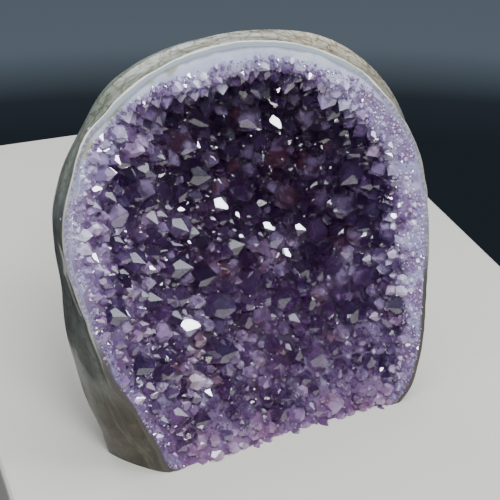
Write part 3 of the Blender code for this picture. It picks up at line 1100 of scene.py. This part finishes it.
amethyst = Finish("amethyst")
shade = amethyst.stored("shade")
out = amethyst.stored("out")
height = amethyst.axis((0, 0, 1))
haze = amethyst.noise(2.4, detail=3)
clear_colour = shade.ramp(
    (0, (0.28, 0.17, 0.36)), (0.45, (0.50, 0.34, 0.58)), (0.8, (0.72, 0.56, 0.80)), (1, (0.86, 0.76, 0.90))
)
milky_deep = shade.ramp((0, (0.06, 0.032, 0.11)), (0.5, (0.19, 0.120, 0.32)), (1, (0.44, 0.33, 0.62)))
milky_pale = shade.ramp(
    (0, (0.24, 0.160, 0.36)), (0.5, (0.36, 0.27, 0.50)), (0.85, (0.49, 0.40, 0.66)), (1, (0.82, 0.77, 0.92))
)
bed = shade.step(-0.1, -0.5)
patches = amethyst.noise(11, detail=2)
rusty = amethyst.noise(8, detail=3)
upper_left = amethyst.axis((-0.6, 0, 0.8)).step(80, 98)
near_rim = out + 0.30 * (haze - 0.5) + 0.9 * (patches - 0.5) + 0.2 * (shade - 0.5)
near_rim = (near_rim + 0.45 * bed + 0.22 * upper_left).step(0.78, 1.18)
near_base = (height + 8 * (haze - 0.5) + 18 * (patches - 0.5)).step(10, 0)
paleness = amethyst.node("ShaderNodeMath", {"operation": "MAXIMUM"}, in0=near_rim, in1=0.8 * near_base)
iron = (shade + 0.9 * (rusty - 0.5)).step(0.93, 1.0) * (1 - paleness)
lilac = shade.step(0.62, 0.78) * (1 - iron)
milky_deep = lilac.mix(milky_deep, (0.42, 0.31, 0.55))
milky_colour = paleness.mix(milky_deep, milky_pale)
between = near_rim.step(0.05, 0.4) * near_rim.step(0.95, 0.6)
milky_colour = (0.6 * between).mix(milky_colour, milky_colour.tinted((0.92, 0.68, 0.78)))
# Painted shade: the bed between the points is near black inside the hollow and violet near the rim, as shade
# in the gaps.
milky_colour = bed.mix(milky_colour, near_rim.mix((0.030, 0.016, 0.040), (0.24, 0.170, 0.31)))
milky_colour = (0.75 * near_base).mix(milky_colour, shade.mix((0.26, 0.14, 0.29), (0.54, 0.35, 0.53)))
# Painted shade: points high in the hollow, under the overhanging top, are darkened.
painted_overhang_shade = out.step(0.85, 0.35) * (height + 20 * (patches - 0.5)).step(28, 58)
milky_colour = (0.75 * painted_overhang_shade).mix(milky_colour, milky_colour.tinted((0.40, 0.34, 0.42)))
clear_colour = (0.75 * painted_overhang_shade).mix(clear_colour, clear_colour.tinted((0.55, 0.45, 0.55)))
milky_colour = (iron * 0.6).mix(milky_colour, (0.20, 0.075, 0.055))
clear_colour = (iron * 0.6).mix(clear_colour, (0.60, 0.30, 0.25))
warm = rusty.step(0.50, 0.62) * (1 - near_rim)
milky_colour = (warm * 0.5).mix(milky_colour, milky_colour.tinted((0.95, 0.62, 0.66)))
clear_colour = (warm * 0.5).mix(clear_colour, clear_colour.tinted((1.0, 0.72, 0.74)))
frosted = rusty.step(0.46, 0.34) * near_rim
milky_colour = (0.5 * frosted).mix(milky_colour, (0.56, 0.55, 0.74))
mauve = rusty.step(0.50, 0.62) * near_rim
milky_colour = (0.6 * mauve).mix(milky_colour, milky_colour.tinted((0.76, 0.60, 0.68)))
low_down = (height + amethyst.axis((0.35, 0, 0)) + 12 * (patches - 0.5)).step(75, 12)
milky_colour = (low_down * near_rim).mix(milky_colour, milky_colour.tinted((0.37, 0.26, 0.38)))
mirror = {"IOR": QUARTZ_IOR, "Coat_Weight": 1 - bed, "Coat_Roughness": 0.0, "Coat_IOR": MIRROR_IOR}
milkiness = 0.07 + 0.14 * haze + 0.66 * paleness + 0.28 * lilac * haze.step(0.35, 0.6)
amethyst.set(Base_Color=clear_colour, Roughness=0.02 + 0.4 * bed, Transmission_Weight=1.0, **mirror)
amethyst.mix_over(
    bed + (1 - bed) * milkiness, Base_Color=milky_colour, Roughness=0.15 + 0.85 * bed, **mirror
)
absorbed = amethyst.node("ShaderNodeVolumeAbsorption", Color=ABSORPTION, Density=ABSORPTION_DENSITY)
amethyst.set("Material Output", Volume=absorbed)
finish_piece(crust, "amethyst_crust", amethyst.material, smooth=False)

# %% [markdown]
# ## Camera, floor and light
#
# The camera stands where the photograph was taken from: to the left, well above, and close, so that the
# perspective is the same. The floor is plain and pale and ends behind the geode, where a dark background
# begins. Glossy crystals show what is around them, so the light is a few soft panels with dark between
# them: a broad one above, a smaller bright one in front that makes single faces flash, weak ones from the
# right, the left and low in front for the sides, and one behind that lights the top of the rind.

# %% Camera
FOCAL_PIXELS = 1384.0
PICTURE_PIXELS = 500.0
SENSOR_MM = 36.0
CAMERA_FROM_CORNER = Vector((-117.9, -281.7, 237.8))
CAMERA_DOWN = math.radians(28.9)
CAMERA_RIGHT = math.radians(26.6)

lens = bpy.data.cameras.new("camera")
lens.sensor_width = SENSOR_MM
lens.lens = FOCAL_PIXELS / PICTURE_PIXELS * SENSOR_MM
camera = bpy.data.objects.new("camera", lens)
camera.location = (CAMERA_FROM_CORNER - Vector((*BASE_CENTRE, 0))) * MM
camera.rotation_euler = (math.pi / 2 - CAMERA_DOWN, 0, -CAMERA_RIGHT)
lens.clip_start = 0.01
bpy.context.scene.collection.objects.link(camera)
bpy.context.scene.camera = camera
print("lens", round(lens.lens, 1), "mm")

# %% Floor
FLOOR_SIZE = (0.186, 0.34, 0.045)
FLOOR_PLACE = (0.026, 0.026)
FLOOR_TURN = math.radians(-7)
FLOOR_EDGE = 0.002

slab = bmesh.new()
bmesh.ops.create_cube(slab, size=1)
bmesh.ops.scale(slab, verts=slab.verts, vec=FLOOR_SIZE)
bmesh.ops.bevel(
    slab, geom=slab.edges, offset=FLOOR_EDGE, offset_type="OFFSET", segments=3, profile=0.5, affect="EDGES",
    material=-1
)
bmesh.ops.rotate(slab, verts=slab.verts, cent=(0, 0, 0), matrix=Matrix.Rotation(FLOOR_TURN, 3, "Z"))
bmesh.ops.translate(slab, verts=slab.verts, vec=(*FLOOR_PLACE, -FLOOR_SIZE[2] / 2))
floor = object_from("floor", slab)
floor_finish = Finish("pale floor")
floor_finish.set(Base_Color=(0.60, 0.57, 0.52), Roughness=0.6)
floor.data.materials.append(floor_finish.material)
print("floor", FLOOR_SIZE[0], "by", FLOOR_SIZE[1], "m")

# %% Background
HORIZON = 0.5

world = bpy.data.worlds.new("backdrop")
world.use_nodes = True
sky = Wire(world.node_tree)
look = sky.node("ShaderNodeTexCoord", output="Generated")
rise = sky.node("ShaderNodeSeparateXYZ", output="Z", in0=look)
backdrop = (rise + HORIZON).ramp(
    (0.09, (0.0135, 0.0185, 0.0245)), (0.118, (0.020, 0.027, 0.035)), (0.150, (0.095, 0.121, 0.150)),
    (0.22, (0.085, 0.108, 0.134)), (0.42, (0.030, 0.036, 0.046))
)
feed(world.node_tree, world.node_tree.nodes["Background"].inputs["Color"], backdrop)
bpy.context.scene.world = world

# %% Light
GEODE_MIDDLE = Vector((0, 0, 0.055))


def softbox(name, place, size, power, colour):
    """A rectangular soft panel that faces the geode."""
    lamp = bpy.data.lights.new(name, "AREA")
    lamp.shape = "RECTANGLE"
    lamp.size, lamp.size_y = size
    lamp.energy = power
    lamp.color = colour
    made = bpy.data.objects.new(name, lamp)
    made.location = place
    made.rotation_euler = (Vector(place) - GEODE_MIDDLE).to_track_quat("Z", "Y").to_euler()
    bpy.context.scene.collection.objects.link(made)


softbox("overhead", (0.08, -0.14, 0.80), (1.05, 0.85), 10.2, (0.91, 0.98, 1.0))
softbox("window", (-0.10, -0.62, 0.66), (0.25, 0.22), 6.5, (0.90, 0.97, 1.0))
softbox("right lamp", (0.50, -0.45, 0.42), (0.12, 0.12), 1.6, (1.0, 0.99, 0.96))
softbox("low front lamp", (-0.22, -0.70, 0.12), (0.09, 0.09), 0.9, (0.95, 0.98, 1.0))
softbox("left lamp", (-0.62, -0.20, 0.26), (0.16, 0.16), 1.0, (0.92, 0.96, 1.0))
softbox("behind", (-0.15, 0.65, 0.50), (0.50, 0.30), 2.2, (0.95, 0.97, 1.0))
print("soft panels:", len(bpy.data.lights))

# %% [markdown]
# ## Clearing up
#
# The crystal shapes of the drawer were only patterns for the copies, so they are removed.

# %% Clear the drawer
for shape in crystal_drawer:
    bpy.data.meshes.remove(shape)
